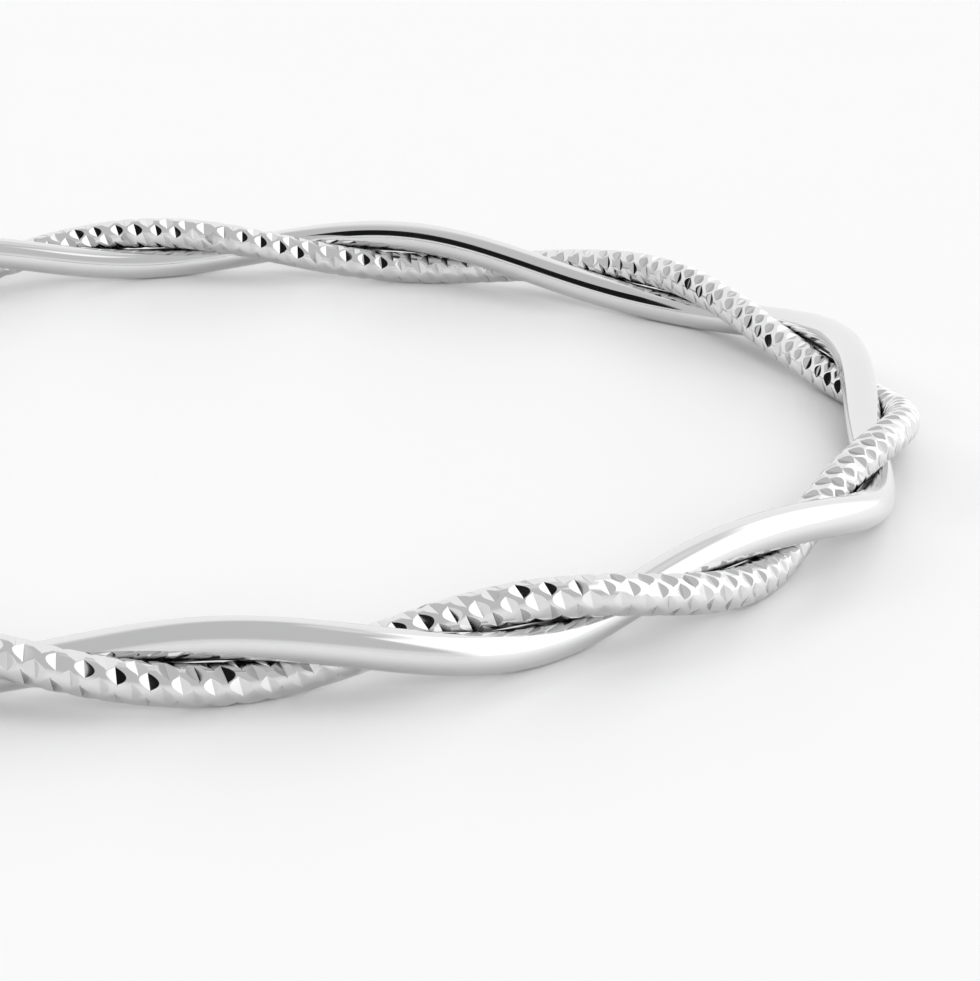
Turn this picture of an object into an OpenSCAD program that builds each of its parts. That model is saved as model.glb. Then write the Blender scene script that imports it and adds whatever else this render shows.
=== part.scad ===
// Twisted wire bangle.
// Two round wires of one thickness are laid side by side and twisted into a
// closed ring: one wire is smooth, the other carries rows of small cuts.
// Millimetres. The ring lies flat on Z = 0 and +Z runs through its opening.
// The wires stay two separate pieces with a thin space between them.

/* [Ring] */
// Width of the round opening the hand passes through
opening_d = 63; // [50:0.5:75]
// Thickness of each wire
wire_d = 1.7; // [1.2:0.05:2.4]
// Space between the two wires
wire_gap = 0.05; // [0.03:0.01:0.2]

/* [Twist] */
// Whole turns the pair makes in one loop, turning left-handed
twists = 7; // [5:1:10]
// Lead of the twist over an even one: its wave that goes once round, in degrees
drift_once = 25; // [0:1:60]
// The lead's second wave, which goes twice round the ring, in degrees
drift_twice = 32; // [0:1:60]
// Where round the ring the twist is closest, in degrees
closest_at = -66; // [-180:1:180]
// Place of the smooth wire in the pair at 0 degrees round the ring, before the lead
start_turn = 176; // [0:1:360]

/* [Cuts] */
// Rows of cuts round the cut wire
cut_rows = 10; // [8:2:12]
// Cuts in one row
cuts_per_row = 190; // [150:1:220]
// Depth of a cut below the round surface
cut_depth = 0.09; // [0.04:0.01:0.14]
// Whole turns the rows make round the wire in one loop
row_turns = 3; // [0:1:5]

/* [Fineness] */
// Flats round the smooth wire
smooth_sides = 16; // [12:2:20]
// Sections along the smooth wire
smooth_steps = 240; // [160:10:300]

/* [Hidden] */
wire_r = wire_d / 2;
// Distance from the middle of the pair to the middle of either wire
lay_r = wire_r + wire_gap / 2;
// Radius of the circle that the middle of the pair follows
ring_r = opening_d / 2 + lay_r + wire_r;
// Height of the middle of the pair above the floor
mid_z = lay_r + wire_r;
// A row holds one cut and one uncut point for every two sections
cut_steps = 2 * cuts_per_row;

// Angle of the smooth wire about the middle of the pair, from straight
// outward, at angle a round the ring
function lay_angle(a) =
    let (from_closest = a - closest_at)
    start_turn - twists * a
        - drift_once * sin(from_closest) - drift_twice * sin(2 * from_closest);

// Middle of a wire at angle a; side is 0 for the smooth wire, 180 for the cut one
function wire_mid(a, side) =
    let (t = lay_angle(a) + side, r = ring_r + lay_r * cos(t))
    [r * cos(a), r * sin(a), mid_z + lay_r * sin(t)];

function unit(v) = v / norm(v);

// Direction in which a wire runs at angle a
function wire_run(a, side) =
    unit(wire_mid(a + 0.05, side) - wire_mid(a - 0.05, side));

// Outward direction square to the wire
function wire_out(a, side) =
    let (run = wire_run(a, side), out = [cos(a), sin(a), 0])
    unit(out - (out * run) * run);

// Point on a wire's skin: w is the angle round the wire, from straight
// outward toward the top, and r the distance from the middle of the wire
function skin_point(a, side, w, r) =
    let (out = wire_out(a, side), up = cross(out, wire_run(a, side)))
    wire_mid(a, side) + r * (cos(w) * out + sin(w) * up);

// Index of a skin point on a closed grid of s sections and n points round
function at(i, j, s, n) = (i % s) * n + (j % n);

// Closed ring of triangles over that grid. Where flip is true the squares
// are halved along alternate diagonals, so that each cut is a four-sided pit.
function ring_faces(s, n, flip) = [
    for (i = [0 : s - 1]) for (j = [0 : n - 1])
        let (p = at(i, j, s, n), q = at(i + 1, j, s, n),
             u = at(i + 1, j + 1, s, n), v = at(i, j + 1, s, n),
             other = flip && (i + j) % 2 == 1)
        for (f = other ? [[p, q, v], [q, u, v]] : [[p, q, u], [p, u, v]]) f
];

// Wire with a plain round skin
module smooth_wire() {
    color("#d9d9dc")
    polyhedron(
        points = [
            for (i = [0 : smooth_steps - 1]) for (j = [0 : smooth_sides - 1])
                skin_point(i * 360 / smooth_steps, 0,
                           j * 360 / smooth_sides, wire_r)
        ],
        faces = ring_faces(smooth_steps, smooth_sides, false),
        convexity = 20);
}

// Wire with rows of cuts; each row stands half a step from the rows beside it
module diamond_cut_wire() {
    color("#c4c4c9")
    polyhedron(
        points = [
            for (i = [0 : cut_steps - 1]) for (j = [0 : cut_rows - 1])
                let (a = i * 360 / cut_steps)
                skin_point(a, 180, j * 360 / cut_rows - row_turns * a,
                           (i + j) % 2 == 0 ? wire_r : wire_r - cut_depth)
        ],
        faces = ring_faces(cut_steps, cut_rows, true),
        convexity = 20);
}

smooth_wire();
diamond_cut_wire();
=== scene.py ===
"""Twisted wire bangle: a smooth and a diamond-cut round wire twisted into a closed ring."""
import math

import bpy
import numpy as np
from bpy.props import FloatProperty, FloatVectorProperty, IntProperty, PointerProperty
from mathutils import Matrix, Vector


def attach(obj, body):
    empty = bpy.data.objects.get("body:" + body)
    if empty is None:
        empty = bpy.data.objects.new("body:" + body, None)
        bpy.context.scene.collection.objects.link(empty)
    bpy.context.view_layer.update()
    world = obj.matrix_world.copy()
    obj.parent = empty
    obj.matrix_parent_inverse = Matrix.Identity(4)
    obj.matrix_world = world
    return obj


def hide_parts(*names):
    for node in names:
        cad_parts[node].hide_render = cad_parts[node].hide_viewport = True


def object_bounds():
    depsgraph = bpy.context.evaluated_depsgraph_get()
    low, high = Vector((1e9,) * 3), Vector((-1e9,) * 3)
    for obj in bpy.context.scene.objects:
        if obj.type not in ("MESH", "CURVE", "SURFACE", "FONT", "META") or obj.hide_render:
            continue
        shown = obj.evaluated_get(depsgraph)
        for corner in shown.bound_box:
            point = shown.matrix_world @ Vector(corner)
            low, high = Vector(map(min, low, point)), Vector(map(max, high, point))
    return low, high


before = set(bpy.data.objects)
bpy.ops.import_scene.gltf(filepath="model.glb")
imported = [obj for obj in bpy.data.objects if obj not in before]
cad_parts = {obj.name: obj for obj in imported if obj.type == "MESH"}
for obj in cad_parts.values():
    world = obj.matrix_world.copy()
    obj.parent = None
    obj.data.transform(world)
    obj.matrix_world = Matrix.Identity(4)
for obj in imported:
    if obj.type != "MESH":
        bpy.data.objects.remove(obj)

bl_info = {
    "name": "Twisted wire bangle",
    "version": (1, 0, 0),
    "blender": (4, 5, 0),
    "location": "3D View > Sidebar > Bangle",
    "description": "Makes a bangle of one smooth and one diamond-cut wire, twisted together",
    "category": "Add Mesh",
}

SMOOTH_NODE = "smooth_wire"
CUT_NODE = "diamond_cut_wire"
CAD_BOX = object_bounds()
CAD_HEIGHT = CAD_BOX[1].z - CAD_BOX[0].z
FULL_TURN = 2 * math.pi


class BangleSizes(bpy.types.PropertyGroup):
    """Sizes of the ring, its two wires and the cuts"""
    wire_d: FloatProperty(
        name="Wire thickness", description="Thickness of each wire",
        default=0.0017, min=0.001, max=0.003, precision=5,
        subtype="DISTANCE", unit="LENGTH")
    wire_gap: FloatProperty(
        name="Wire gap", description="Space between the two wires",
        default=CAD_HEIGHT - 2 * 0.0017, min=0.0, max=0.001, precision=6,
        subtype="DISTANCE", unit="LENGTH")
    opening_d: FloatProperty(
        name="Opening", description="Width of the round opening inside the ring",
        default=0.063, min=0.04, max=0.09, precision=4,
        subtype="DISTANCE", unit="LENGTH")
    twists: IntProperty(
        name="Twists", description="Whole left-handed turns of the pair in one loop",
        default=7, min=1, max=20)
    drift_once: FloatProperty(
        name="Drift once round", description="Lead of the twist, its wave once round the ring",
        default=math.radians(25), min=0.0, max=math.radians(60), subtype="ANGLE")
    drift_twice: FloatProperty(
        name="Drift twice round", description="Lead of the twist, its wave twice round the ring",
        default=math.radians(32), min=0.0, max=math.radians(60), subtype="ANGLE")
    closest_at: FloatProperty(
        name="Closest at", description="Where round the ring the twist is closest",
        default=math.radians(-66), min=-math.pi, max=math.pi, subtype="ANGLE")
    start_turn: FloatProperty(
        name="Start turn", description="Place of the smooth wire in the pair at +X, before the lead",
        default=math.radians(176), min=0.0, max=FULL_TURN, subtype="ANGLE")
    cut_rows: IntProperty(
        name="Rows of cuts", description="Rows of cuts round the cut wire",
        default=10, min=6, max=14, step=2)
    cuts_per_row: IntProperty(
        name="Cuts in a row", description="Cuts in each row, all round the ring",
        default=190, min=60, max=300)
    row_turns: IntProperty(
        name="Row turns", description="Turns that the rows make round the wire in one loop",
        default=3, min=0, max=10)
    cut_depth: FloatProperty(
        name="Cut depth", description="Depth of a cut below the round surface",
        default=0.00007, min=0.00002, max=0.0003, precision=6,
        subtype="DISTANCE", unit="LENGTH")
    cut_length: FloatProperty(
        name="Cut length", description="Length of a cut along the wire",
        default=0.00075, min=0.0002, max=0.0011, precision=6,
        subtype="DISTANCE", unit="LENGTH")
    cut_play: FloatProperty(
        name="Cut play", description="How unevenly the cuts are spaced and sunk",
        default=0.07, min=0.0, max=0.2, subtype="FACTOR")
    cut_skew: FloatProperty(
        name="Cut skew", description="Turn of the creases off square to the wire",
        default=math.radians(12), min=0.0, max=math.radians(30), subtype="ANGLE")
    lean_before: FloatProperty(
        name="Lean before", description="Lean that the shine of the face before a crease follows",
        default=math.radians(22), min=0.0, max=math.radians(40), subtype="ANGLE")
    lean_after: FloatProperty(
        name="Lean after", description="Lean that the shine of the face after a crease follows",
        default=math.radians(36), min=0.0, max=math.radians(45), subtype="ANGLE")
    face_bow: FloatProperty(
        name="Face bow", description="How much of the lean is lost from the crease to the rim",
        default=0.12, min=0.0, max=0.5, subtype="FACTOR")
    # Painted shade: darkens the undersides, standing in for the shadowed floor they mirror; it also
    # roughens them
    underside_dull_and_shade: FloatProperty(
        name="Dull underside", description="How much duller the metal is on the wires' undersides",
        default=0.27, min=0.0, max=1.0, subtype="FACTOR")


class BangleFinish(bpy.types.PropertyGroup):
    """Colours and polish of the two wires and the floor"""
    smooth_colour: FloatVectorProperty(
        name="Smooth wire", description="Colour of the polished wire's metal",
        default=(0.83, 0.83, 0.835), min=0.0, max=1.0, subtype="COLOR")
    cut_colour: FloatVectorProperty(
        name="Cut wire", description="Colour of the diamond-cut wire's metal",
        default=(0.83, 0.83, 0.835), min=0.0, max=1.0, subtype="COLOR")
    # Painted shade: the colour the metal is darkened toward in the crevice between the wires and on the
    # undersides
    painted_shade_colour: FloatVectorProperty(
        name="Between the wires", description="Tone of the dull metal where the wires touch",
        default=(0.10, 0.10, 0.10), min=0.0, max=1.0, subtype="COLOR")
    smooth_roughness: FloatProperty(
        name="Smooth roughness", description="Mean roughness of the polished wire",
        default=0.08, min=0.0, max=1.0, subtype="FACTOR")
    cut_roughness: FloatProperty(
        name="Cut roughness", description="Mean roughness of the diamond-cut wire",
        default=0.07, min=0.0, max=1.0, subtype="FACTOR")
    floor_colour: FloatVectorProperty(
        name="Floor", description="Colour of the plain floor",
        default=(0.90, 0.90, 0.90), min=0.0, max=1.0, subtype="COLOR")


def unit(v):
    """Each vector over its own length."""
    return v / np.linalg.norm(v, axis=-1, keepdims=True)


def wire_mid(s, a, side):
    """Middle of a wire at angles a round the ring.

    The pair's middle runs on a circle. The wire stands off it by half the
    wires' spacing, at an angle that falls evenly with a, less two waves:
    drift_once times the sine of the distance from where the twist is closest,
    and drift_twice times the sine of twice that distance. side is 0 for the
    smooth wire and half a turn for the cut one.
    """
    lay_r = (s.wire_d + s.wire_gap) / 2
    ring_r = s.opening_d / 2 + lay_r + s.wire_d / 2
    from_closest = a - s.closest_at
    lead = s.drift_once * np.sin(from_closest) + s.drift_twice * np.sin(2 * from_closest)
    t = s.start_turn + side - s.twists * a - lead
    r = ring_r + lay_r * np.cos(t)
    z = lay_r + s.wire_d / 2 + lay_r * np.sin(t)
    return np.stack([r * np.cos(a), r * np.sin(a), z], axis=-1)


def wire_frame(s, a, side):
    """Middle of a wire with its outward, upward and running directions.

    The running direction is the difference of two close points. Outward is
    the ring's own outward direction made square to it, and upward is their
    cross product.
    """
    step = 1e-4
    run = unit(wire_mid(s, a + step, side) - wire_mid(s, a - step, side))
    out = np.stack([np.cos(a), np.sin(a), np.zeros_like(a)], axis=-1)
    out = unit(out - (out * run).sum(-1, keepdims=True) * run)
    return wire_mid(s, a, side), out, np.cross(out, run), run


def around(out, up, w):
    """Direction at angle w round the wire, from outward toward the top."""
    return np.cos(w)[..., None] * out + np.sin(w)[..., None] * up


CREVICE_EDGE = math.radians(24)     # off the other wire, where the painted crevice shade starts
CREVICE_DEEP = math.radians(6)      # and where it is full
UNDERSIDE_FULL = math.radians(30)   # below the level, where the underside's painted shade is fullest


def dull_and_painted_shade_share(s, a, side, skin):
    """How much painted shade darkens the metal at a skin point, and how much rougher it is there, from
    0 to 1.

    Toward the other wire it rises evenly with the cosine of the angle off it,
    from 0 at the crevice's edge to 1 in its depth. Toward the floor it rises
    evenly with the sine of the angle below the level, from 0 to the share set
    for the underside. The greater of the two counts. The darkening is painted
    shade, in the crevice between the wires and on the undersides that face the floor.
    """
    other = unit(wire_mid(s, a, side + math.pi) - wire_mid(s, a, side))
    toward = (skin * other).sum(-1)
    edge, deep = math.cos(CREVICE_EDGE), math.cos(CREVICE_DEEP)
    crevice = np.clip((toward - edge) / (deep - edge), 0, 1)
    below = np.clip(-skin[..., 2] / math.sin(UNDERSIDE_FULL), 0, 1)
    return np.maximum(crevice, s.underside_dull_and_shade * below)


def grid_piece(name, points, about, dull, corner_normals=None):
    """Object from a grid of points that closes both ways, along and round.

    A square face joins each point with the next ones along and round. Its map
    gives the lengths along and round the wire in millimetres, where about is
    the wire's girth. Where corner_normals are given, each face corner shines
    as if it faced that way.
    """
    n, m = points.shape[:2]
    i, j = np.meshgrid(np.arange(n), np.arange(m), indexing="ij")
    k, l = (i + 1) % n, (j + 1) % m
    faces = np.stack([i * m + j, k * m + j, k * m + l, i * m + l], axis=-1).reshape(-1, 4)
    mesh = bpy.data.meshes.new(name)
    mesh.vertices.add(n * m)
    mesh.vertices.foreach_set("co", points.ravel())
    mesh.loops.add(faces.size)
    mesh.loops.foreach_set("vertex_index", faces.ravel())
    mesh.polygons.add(len(faces))
    mesh.polygons.foreach_set("loop_start", np.arange(0, faces.size, 4))
    mesh.update(calc_edges=True)
    mesh.polygons.foreach_set("use_smooth", np.ones(len(faces), dtype=bool))
    step = np.linalg.norm(np.diff(points.mean(axis=1), axis=0), axis=-1) * 1000
    along = np.concatenate([[0], np.cumsum(step), [step.sum() + step.mean()]])
    u = np.stack([along[i], along[i + 1], along[i + 1], along[i]], axis=-1)
    v = np.stack([j, j, j + 1, j + 1], axis=-1) * about * 1000 / m
    mesh.uv_layers.new(name="wire_map").data.foreach_set("uv", np.stack([u, v], -1).ravel())
    # Share of painted shade, and of added roughness, at each point
    mesh.attributes.new("dull", "FLOAT", "POINT").data.foreach_set("value", dull.ravel())
    if mesh.validate():
        raise RuntimeError(f"the mesh of {name} had to be repaired")
    if corner_normals is not None:
        mesh.normals_split_custom_set(corner_normals.reshape(-1, 3))
    piece = bpy.data.objects.new(name, mesh)
    bpy.context.scene.collection.objects.link(piece)
    return piece


def smooth_wire_piece(s, name, sections=960, sides=40):
    """Round tube along the smooth wire: its middle plus the wire's radius in
    every direction square to it."""
    a = np.arange(sections) * FULL_TURN / sections
    w = np.arange(sides) * FULL_TURN / sides
    mid, out, up, _ = wire_frame(s, a, 0.0)
    skin = around(out[:, None], up[:, None], np.broadcast_to(w, (sections, sides)))
    points = mid[:, None] + s.wire_d / 2 * skin
    dull = dull_and_painted_shade_share(s, a[:, None], 0.0, skin)
    return grid_piece(name, points, math.pi * s.wire_d, dull)


COLUMNS_PER_ROW = 8   # grid lines along the wire in the width of one row of cuts
STATIONS = 6          # grid lines round the wire from one cut to the next in its row
RIDGE = 0.012         # half width of a burnished ridge, over the spacing of the cuts
FADE_ROOM = 0.02      # angle past a cut's tip over which its play and skew stay whole

# The faces beside a crease: which of a column's two rows cuts them, the station
# they start from, and whether they lie after the crease or before it
CREASE_FACES = ((0, 0, True), (1, 2, False), (1, 3, True), (0, 5, False))
FACE_STRAY = math.radians(1.2)   # usual stray of a face's lean and of its turn
PLAY_SEED, STRAY_SEED = 5, 11


class CutPlan:
    """Where every cut lies, for each column of the cut wire's grid.

    The columns run along the wire, eight to a row. A column lies u round from
    its own row's middle, and the rest of a row's width from that of the row
    beside it. Cuts of odd rows stand at whole spacings and those of even rows
    half a spacing on, each a little off by the play, and their creases run
    askew by the tangent of the skew. Play and skew fade away from the cut's
    tip to the middle of the row beside it. For the odd and the even one of a
    column's two rows, this holds the row, the angle from its middle, and each
    cut's place along (in spacings), floor (the crease's radius) and reach
    (its half length at that column).
    """

    def __init__(self, s):
        self.radius = s.wire_d / 2
        self.spacing = FULL_TURN * (s.opening_d / 2 + s.wire_d) / s.cuts_per_row
        self.slope = s.cut_depth / (s.cut_length / 2)
        width = FULL_TURN / s.cut_rows
        column = np.arange(s.cut_rows * COLUMNS_PER_ROW)
        own = column // COLUMNS_PER_ROW
        u = (column % COLUMNS_PER_ROW / COLUMNS_PER_ROW - 0.5) * width
        beside = np.where(u < 0, own - 1, own + 1) % s.cut_rows
        self.angle = own * width + u
        rng = np.random.default_rng(PLAY_SEED)
        play = rng.uniform(-1, 1, (2, s.cut_rows, s.cuts_per_row)) * s.cut_play
        tip = math.acos(1 - s.cut_depth / self.radius)
        self.row, self.off, self.place, self.floor, self.reach = [], [], [], [], []
        for parity in (1, 0):
            is_own = own % 2 == parity
            row = np.where(is_own, own, beside)
            across = np.where(is_own, u, u - np.sign(u + 1e-9) * width)
            off = abs(across)
            askew = -math.tan(s.cut_skew) * self.radius * across / self.spacing
            fade = np.clip((width - off) / (width - tip - FADE_ROOM), 0, 1)
            place = np.arange(s.cuts_per_row)[:, None] + (1 - parity) / 2
            floor = self.radius - s.cut_depth * (1 + 2 * play[1][row].T)
            self.row.append(row)
            self.off.append(off)
            self.place.append(place + fade * (play[0][row].T + askew))
            self.floor.append(floor)
            self.reach.append(np.maximum((self.radius * np.cos(off) - floor) / self.slope, 0))

    def next_cut(self, values, wrap=0):
        """The same values one cut further along the wire."""
        values = np.roll(values, -1, axis=0)
        values[-1] += wrap
        return values

    def stations(self, first, second, further):
        """From one row's creases to the other's: places and radii at the
        crease and at both edges of the land or ridge between the two cuts.

        Each cut's face rises by the slope from its crease, so at a distance x
        the skin's radius is (floor + slope x) / cos(angle from the row), and
        never more than the round radius. Where the two cuts overlap, they meet
        where both radii are equal, and a ridge of even width runs there.
        """
        f0, f1 = 1 / np.cos(self.off[first]), 1 / np.cos(self.off[second])
        floor0, place0, reach0 = self.floor[first], self.place[first], self.reach[first]
        floor1, place1, reach1 = self.floor[second], self.place[second], self.reach[second]
        if further:
            floor1, reach1 = self.next_cut(floor1), self.next_cut(reach1)
            place1 = self.next_cut(place1, len(place1))
        gap = (place1 - place0) * self.spacing
        meet = (floor1 * f1 - floor0 * f0 + self.slope * gap * f1) / (self.slope * (f0 + f1))
        ridge = RIDGE * self.spacing
        free = reach0 + reach1 < gap
        near = np.clip(np.where(free, reach0, meet - ridge), ridge, gap - 3 * ridge)
        far = np.clip(np.where(free, gap - reach1, meet + ridge), near + ridge, gap - ridge)
        x = np.stack([np.zeros_like(near), near, far], axis=1)
        rise0 = (floor0[:, None] + self.slope * x) * f0
        rise1 = (floor1[:, None] + self.slope * (gap[:, None] - x)) * f1
        radii = np.minimum(self.radius, np.minimum(rise0, rise1))
        return place0[:, None] + x / self.spacing, radii


def cut_wire_piece(s, name):
    """Diamond-cut wire: the plan's stations carried along the wire, while the
    rows turn slowly round it.

    Every face corner also gets a direction for its shine. Between the cuts it
    is the round skin's. In a cut it is the direction of the row's middle,
    leant toward the crease by lean_before or lean_after: a little more at the
    crease, and less at the rim.
    """
    plan = CutPlan(s)
    cuts, columns, side = s.cuts_per_row, s.cut_rows * COLUMNS_PER_ROW, math.pi
    halves = plan.stations(0, 1, False), plan.stations(1, 0, True)
    place, radii = (np.concatenate(both, axis=1).reshape(-1, columns) for both in zip(*halves))
    a = place * FULL_TURN / cuts
    mid, out, up, _ = wire_frame(s, a, side)
    skin = around(out, up, plan.angle - s.row_turns * a)
    points = mid + radii[..., None] * skin
    along = np.roll(skin, -1, axis=0)
    corners = np.stack([skin, along, np.roll(along, -1, axis=1), np.roll(skin, -1, axis=1)],
                       axis=2).reshape(cuts, STATIONS, columns, 4, 3)
    rng = np.random.default_rng(STRAY_SEED)
    for which, station, after in CREASE_FACES:
        row, crease, reach = plan.row[which], plan.place[which], plan.reach[which]
        if station == STATIONS - 1:
            crease, reach = plan.next_cut(crease, cuts), plan.next_cut(reach)
        stray, sway = rng.normal(0, FACE_STRAY, (2, s.cut_rows, cuts))[:, row].swapaxes(1, 2)
        crease = crease * FULL_TURN / cuts
        _, out, up, run = wire_frame(s, crease, side)
        turn = row * FULL_TURN / s.cut_rows - s.row_turns * crease + sway
        middle = around(out, up, turn)
        aslant = math.cos(s.cut_skew) * run + math.sin(s.cut_skew) * around(up, -out, turn)
        cut_here = np.maximum(reach, np.roll(reach, -1, axis=1)) > 0
        for corner in range(4):
            at_crease = (corner in (0, 3)) == after
            bow = 1 + s.face_bow / 2 if at_crease else 1 - s.face_bow / 2
            lean = s.lean_after * bow + stray if after else -s.lean_before * bow + stray
            face = np.cos(lean)[..., None] * middle - np.sin(lean)[..., None] * aslant
            corners[:, station, :, corner][cut_here] = face[cut_here]
    dull = dull_and_painted_shade_share(s, a, side, skin)
    return grid_piece(name, points, math.pi * s.wire_d, dull, corners)


def node_maker(tree):
    """Adds nodes to a tree. A keyword names an input, or _0 and on its place,
    and gives it a socket to link or a value."""
    def make(kind, settings=(), **inputs):
        node = tree.nodes.new(kind)
        for key, value in dict(settings).items():
            setattr(node, key, value)
        for key, value in inputs.items():
            socket = node.inputs[int(key[1:]) if key[0] == "_" else key.replace("_", " ")]
            if isinstance(value, bpy.types.NodeSocket):
                tree.links.new(value, socket)
            else:
                socket.default_value = value
        return node
    return make


def new_material(name):
    """Empty node material with its node maker."""
    material = bpy.data.materials.new(name)
    material.use_nodes = True
    material.node_tree.nodes.clear()
    return material, node_maker(material.node_tree)


def wire_metal(name, finish, base, roughness, line_scale, tone_depth, wave_scale):
    """White metal with fine lines that follow the wire's own map, soft waves
    of the surface, a little unevenness of tone and polish, and painted shade
    deep between the two wires and underneath, where the metal is also rougher. line_scale is the lines
    per millimetre along and round the wire, and tone_depth their loss of tone."""
    material, make = new_material(name)
    tree = material.node_tree
    place = make("ShaderNodeTexCoord").outputs["Object"]
    run = make("ShaderNodeUVMap", {"uv_map": "wire_map"}).outputs["UV"]
    stretched = make("ShaderNodeMapping", Vector=run, Scale=line_scale).outputs["Vector"]
    lines = make("ShaderNodeTexNoise", Vector=stretched, Scale=1.0, Detail=3.0).outputs["Fac"]
    waves = make("ShaderNodeTexNoise", Vector=place, Scale=wave_scale, Detail=2.0).outputs["Fac"]
    patches = make("ShaderNodeTexNoise", Vector=place, Scale=170.0, Detail=3.0).outputs["Fac"]
    dull = make("ShaderNodeAttribute", {"attribute_name": "dull"}).outputs["Fac"]

    tone = make("ShaderNodeMix", {"data_type": "RGBA"}, Factor=patches)
    tone.inputs[6].default_value = (*[c * (1 - tone_depth) for c in base], 1)
    tone.inputs[7].default_value = (*base, 1)
    # Painted shade: the metal's colour is mixed toward the painted shade colour by the share
    colour = make("ShaderNodeMix", {"data_type": "RGBA"}, Factor=dull)
    tree.links.new(tone.outputs[2], colour.inputs[6])
    colour.inputs[7].default_value = (*finish.painted_shade_colour, 1)
    polish = make("ShaderNodeMapRange", Value=patches, From_Min=0.3, From_Max=0.75,
                  To_Min=roughness * 0.6, To_Max=roughness * 1.6)
    blur = make("ShaderNodeMapRange", Value=dull, To_Min=0.0, To_Max=0.25)
    rough = make("ShaderNodeMath", {"operation": "ADD"},
                 _0=polish.outputs["Result"], _1=blur.outputs["Result"])
    soft = make("ShaderNodeBump", Strength=0.15, Distance=0.00002, Height=waves)
    fine = make("ShaderNodeBump", Strength=0.10, Distance=0.000004, Height=lines,
                Normal=soft.outputs["Normal"])
    shader = make("ShaderNodeBsdfPrincipled", Metallic=1.0, Base_Color=colour.outputs[2],
                  Roughness=rough.outputs[0], Normal=fine.outputs["Normal"])
    make("ShaderNodeOutputMaterial", Surface=shader.outputs["BSDF"])
    return material


def finish_piece(piece, node, metal):
    """Joins a piece to the frame in a node's stead, and finishes both."""
    piece.data.materials.append(metal)
    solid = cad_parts[node]
    solid.data.materials.clear()
    solid.data.materials.append(metal)
    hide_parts(node)
    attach(piece, "root")


class BANGLE_OT_smooth_wire(bpy.types.Operator):
    """Make the plain round wire in mirror-polished metal"""
    bl_idname = "bangle.smooth_wire"
    bl_label = "Smooth wire"

    def execute(self, context):
        sizes, finish = context.scene.bangle_sizes, context.scene.bangle_finish
        wire = smooth_wire_piece(sizes, "polished_wire")
        metal = wire_metal("polished_wire_metal", finish, finish.smooth_colour,
                           finish.smooth_roughness, line_scale=(0.35, 26.0, 1.0),
                           tone_depth=0.03, wave_scale=420.0)
        finish_piece(wire, SMOOTH_NODE, metal)
        return {"FINISHED"}


class BANGLE_OT_cut_wire(bpy.types.Operator):
    """Make the wire with rows of small bright cuts"""
    bl_idname = "bangle.cut_wire"
    bl_label = "Diamond-cut wire"

    def execute(self, context):
        sizes, finish = context.scene.bangle_sizes, context.scene.bangle_finish
        wire = cut_wire_piece(sizes, "bright_cut_wire")
        metal = wire_metal("bright_cut_metal", finish, finish.cut_colour,
                           finish.cut_roughness, line_scale=(30.0, 0.6, 1.0),
                           tone_depth=0.05, wave_scale=900.0)
        finish_piece(wire, CUT_NODE, metal)
        return {"FINISHED"}


CAMERA_DISTANCE = 0.1543           # from the middle of the ring
CAMERA_RISE = math.radians(16.58)
AIM_TURN = math.radians(5.683)     # the camera looks a little right of the middle
AIM_DROP = math.radians(18.066)    # and down
AIM_ROLL = math.radians(-0.194)
LENS_MM = 118.2                    # on a sensor 36 mm wide


def place_camera(middle_z):
    """Camera at the photo's angle: it stands on -Y, raised, and looks down."""
    spot = Vector((0, -CAMERA_DISTANCE * math.cos(CAMERA_RISE),
                   middle_z + CAMERA_DISTANCE * math.sin(CAMERA_RISE)))
    ahead = Vector((math.sin(AIM_TURN) * math.cos(AIM_DROP),
                    math.cos(AIM_TURN) * math.cos(AIM_DROP), -math.sin(AIM_DROP)))
    right = Vector((math.cos(AIM_TURN), -math.sin(AIM_TURN), 0))
    up = right.cross(ahead)
    rolled_right = right * math.cos(AIM_ROLL) + up * math.sin(AIM_ROLL)
    rolled_up = up * math.cos(AIM_ROLL) - right * math.sin(AIM_ROLL)
    turn = Matrix((rolled_right, rolled_up, -ahead)).transposed()
    lens = bpy.data.cameras.new("photo_camera")
    lens.lens = LENS_MM
    lens.sensor_width = 36.0
    lens.clip_start, lens.clip_end = 0.005, 20.0
    camera = bpy.data.objects.new("photo_camera", lens)
    camera.matrix_world = Matrix.Translation(spot) @ turn.to_4x4()
    bpy.context.scene.collection.objects.link(camera)
    bpy.context.scene.camera = camera


# Screens and cards of the studio that the metal mirrors: the side they are
# measured from, their left and right ends and lower and upper edges (degrees,
# the right-hand side of the photo is positive), edge softness, brightness
STUDIO = (
    ("front", -80, 56, -30, 14, 9, 0.84),
    ("back", -64, 48, -30, 58, 9, 0.98),
    ("front", 56, 138, -30, 60, 6, 1.35),
    ("front", 96, 158, 62, 76, 7, 0.82),
    ("front", -85, -47.5, 10.5, 45, 1.5, 0.01),
)
STUDIO_GREY = 0.60
BACKDROP = 0.947

# Soft lamps that light the floor: the side they come from (round from +X),
# height above the floor and width (all in degrees), strength in watts per
# square metre
LAMPS = (
    ("front_lamp", -90, 25, 30, 1.72),
    ("left_lamp", 160, 35, 20, 0.24),
)


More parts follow.
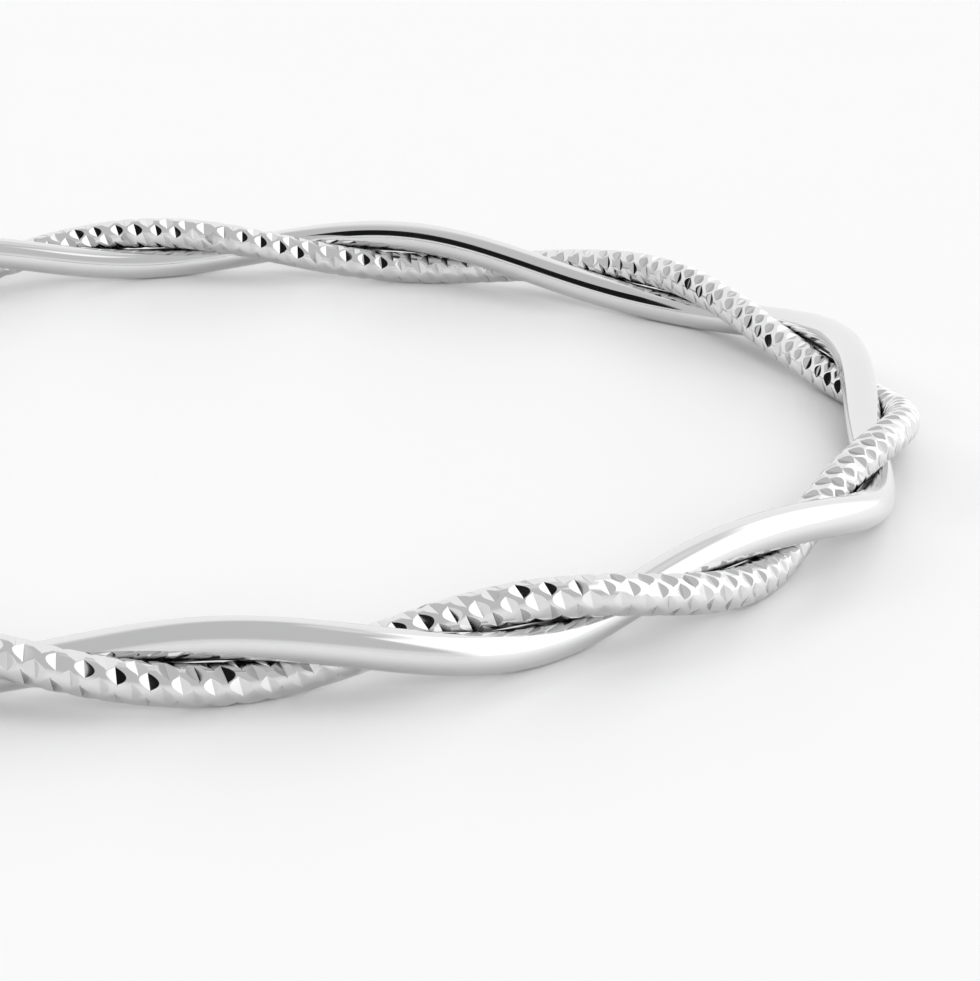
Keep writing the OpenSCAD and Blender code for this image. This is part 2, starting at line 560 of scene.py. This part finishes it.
def studio_world():
    """Soft surroundings, chosen by direction: mid-grey overhead, a pale band
    low in front, a wide pale sheet behind, a bright screen on the right with
    a softer one over it, and a dark card on the left. The camera itself sees a
    plain pale backdrop."""
    world = bpy.data.worlds.new("studio")
    world.use_nodes = True
    world.node_tree.nodes.clear()
    make = node_maker(world.node_tree)
    aim = make("ShaderNodeTexCoord").outputs["Generated"]
    part = make("ShaderNodeSeparateXYZ", Vector=aim).outputs

    def maths(operation, first, second=0.0):
        return make("ShaderNodeMath", {"operation": operation}, _0=first, _1=second).outputs[0]

    front = maths("DEGREES", maths("ARCTAN2", part["X"], maths("MULTIPLY", part["Y"], -1.0)))
    back = maths("DEGREES", maths("ARCTAN2", part["X"], part["Y"]))
    height = maths("DEGREES", maths("ARCSINE", part["Z"]))

    def window(value, low, high, soft):
        ends = ((low - soft, low + soft), (high + soft, high - soft))
        rise, fall = (make("ShaderNodeMapRange", {"interpolation_type": "SMOOTHSTEP"},
                           Value=value, From_Min=start, From_Max=end).outputs["Result"]
                      for start, end in ends)
        return maths("MULTIPLY", rise, fall)

    light = STUDIO_GREY
    for side, left, right, low, high, soft, brightness in STUDIO:
        turned = front if side == "front" else back
        mask = maths("MULTIPLY", window(turned, left, right, soft),
                     window(height, low, high, soft))
        light = make("ShaderNodeMix", Factor=mask, A=light, B=brightness).outputs[0]
    ray = make("ShaderNodeLightPath").outputs
    shown = make("ShaderNodeMix", Factor=ray["Is Camera Ray"], A=light, B=BACKDROP).outputs[0]
    glow = make("ShaderNodeBackground", Strength=shown)
    glow.inputs["Color"].default_value = (1, 1, 1, 1)
    make("ShaderNodeOutputWorld", Surface=glow.outputs[0])
    return world


def add_lamp(name, turn, height, width, strength):
    """Soft distant lamp that lights the floor and isn't mirrored by the metal."""
    light = bpy.data.lights.new(name, "SUN")
    light.angle, light.energy = width, strength
    lamp = bpy.data.objects.new(name, light)
    toward = Vector((math.cos(turn) * math.cos(height), math.sin(turn) * math.cos(height),
                     math.sin(height)))
    lamp.matrix_world = toward.to_track_quat("Z", "Y").to_matrix().to_4x4()
    lamp.visible_glossy = False
    bpy.context.scene.collection.objects.link(lamp)


def floor_material(finish):
    """Pale board with a faint sheen and a slightly uneven polish."""
    material, make = new_material("pale_floor")
    place = make("ShaderNodeTexCoord").outputs["Object"]
    grain = make("ShaderNodeTexNoise", Vector=place, Scale=60.0, Detail=3.0).outputs["Fac"]
    rough = make("ShaderNodeMapRange", Value=grain, To_Min=0.26, To_Max=0.32)
    shader = make("ShaderNodeBsdfPrincipled", Roughness=rough.outputs["Result"])
    shader.inputs["Base Color"].default_value = (*finish.floor_colour, 1)
    shader.inputs["Specular IOR Level"].default_value = 0.3
    make("ShaderNodeOutputMaterial", Surface=shader.outputs["BSDF"])
    return material


FLOOR_HALF = 3.0   # half the width of the floor, in metres


class BANGLE_OT_stage(bpy.types.Operator):
    """Make the pale floor, the soft light and the camera"""
    bl_idname = "bangle.stage"
    bl_label = "Stage"

    def execute(self, context):
        scene = context.scene
        mesh = bpy.data.meshes.new("floor")
        corners = [(x * FLOOR_HALF, y * FLOOR_HALF, 0) for x, y in ((-1, -1), (1, -1), (1, 1), (-1, 1))]
        mesh.from_pydata(corners, [], [(0, 1, 2, 3)])
        mesh.materials.append(floor_material(scene.bangle_finish))
        floor = bpy.data.objects.new("floor", mesh)
        scene.collection.objects.link(floor)
        scene.world = studio_world()
        for name, turn, height, width, strength in LAMPS:
            add_lamp(name, math.radians(turn), math.radians(height), math.radians(width), strength)
        place_camera(CAD_HEIGHT / 2)
        scene.view_settings.view_transform = "Standard"
        return {"FINISHED"}


class BANGLE_PT_panel(bpy.types.Panel):
    """Lists the sizes, the finish and the pieces of the bangle"""
    bl_idname = "BANGLE_PT_panel"
    bl_label = "Twisted wire bangle"
    bl_space_type = "VIEW_3D"
    bl_region_type = "UI"
    bl_category = "Bangle"

    def draw(self, context):
        for group in (context.scene.bangle_sizes, context.scene.bangle_finish):
            box = self.layout.box()
            for name in group.__annotations__:
                box.prop(group, name)
        for operator in OPERATORS:
            self.layout.operator(operator.bl_idname)


OPERATORS = (BANGLE_OT_smooth_wire, BANGLE_OT_cut_wire, BANGLE_OT_stage)
CLASSES = (BangleSizes, BangleFinish, *OPERATORS, BANGLE_PT_panel)


def register():
    for cls in CLASSES:
        bpy.utils.register_class(cls)
    bpy.types.Scene.bangle_sizes = PointerProperty(type=BangleSizes)
    bpy.types.Scene.bangle_finish = PointerProperty(type=BangleFinish)


def unregister():
    del bpy.types.Scene.bangle_finish
    del bpy.types.Scene.bangle_sizes
    for cls in reversed(CLASSES):
        bpy.utils.unregister_class(cls)


def main():
    register()
    bpy.ops.bangle.smooth_wire()
    bpy.ops.bangle.cut_wire()
    bpy.ops.bangle.stage()
    bpy.context.view_layer.update()


if __name__ == "__main__":
    main()
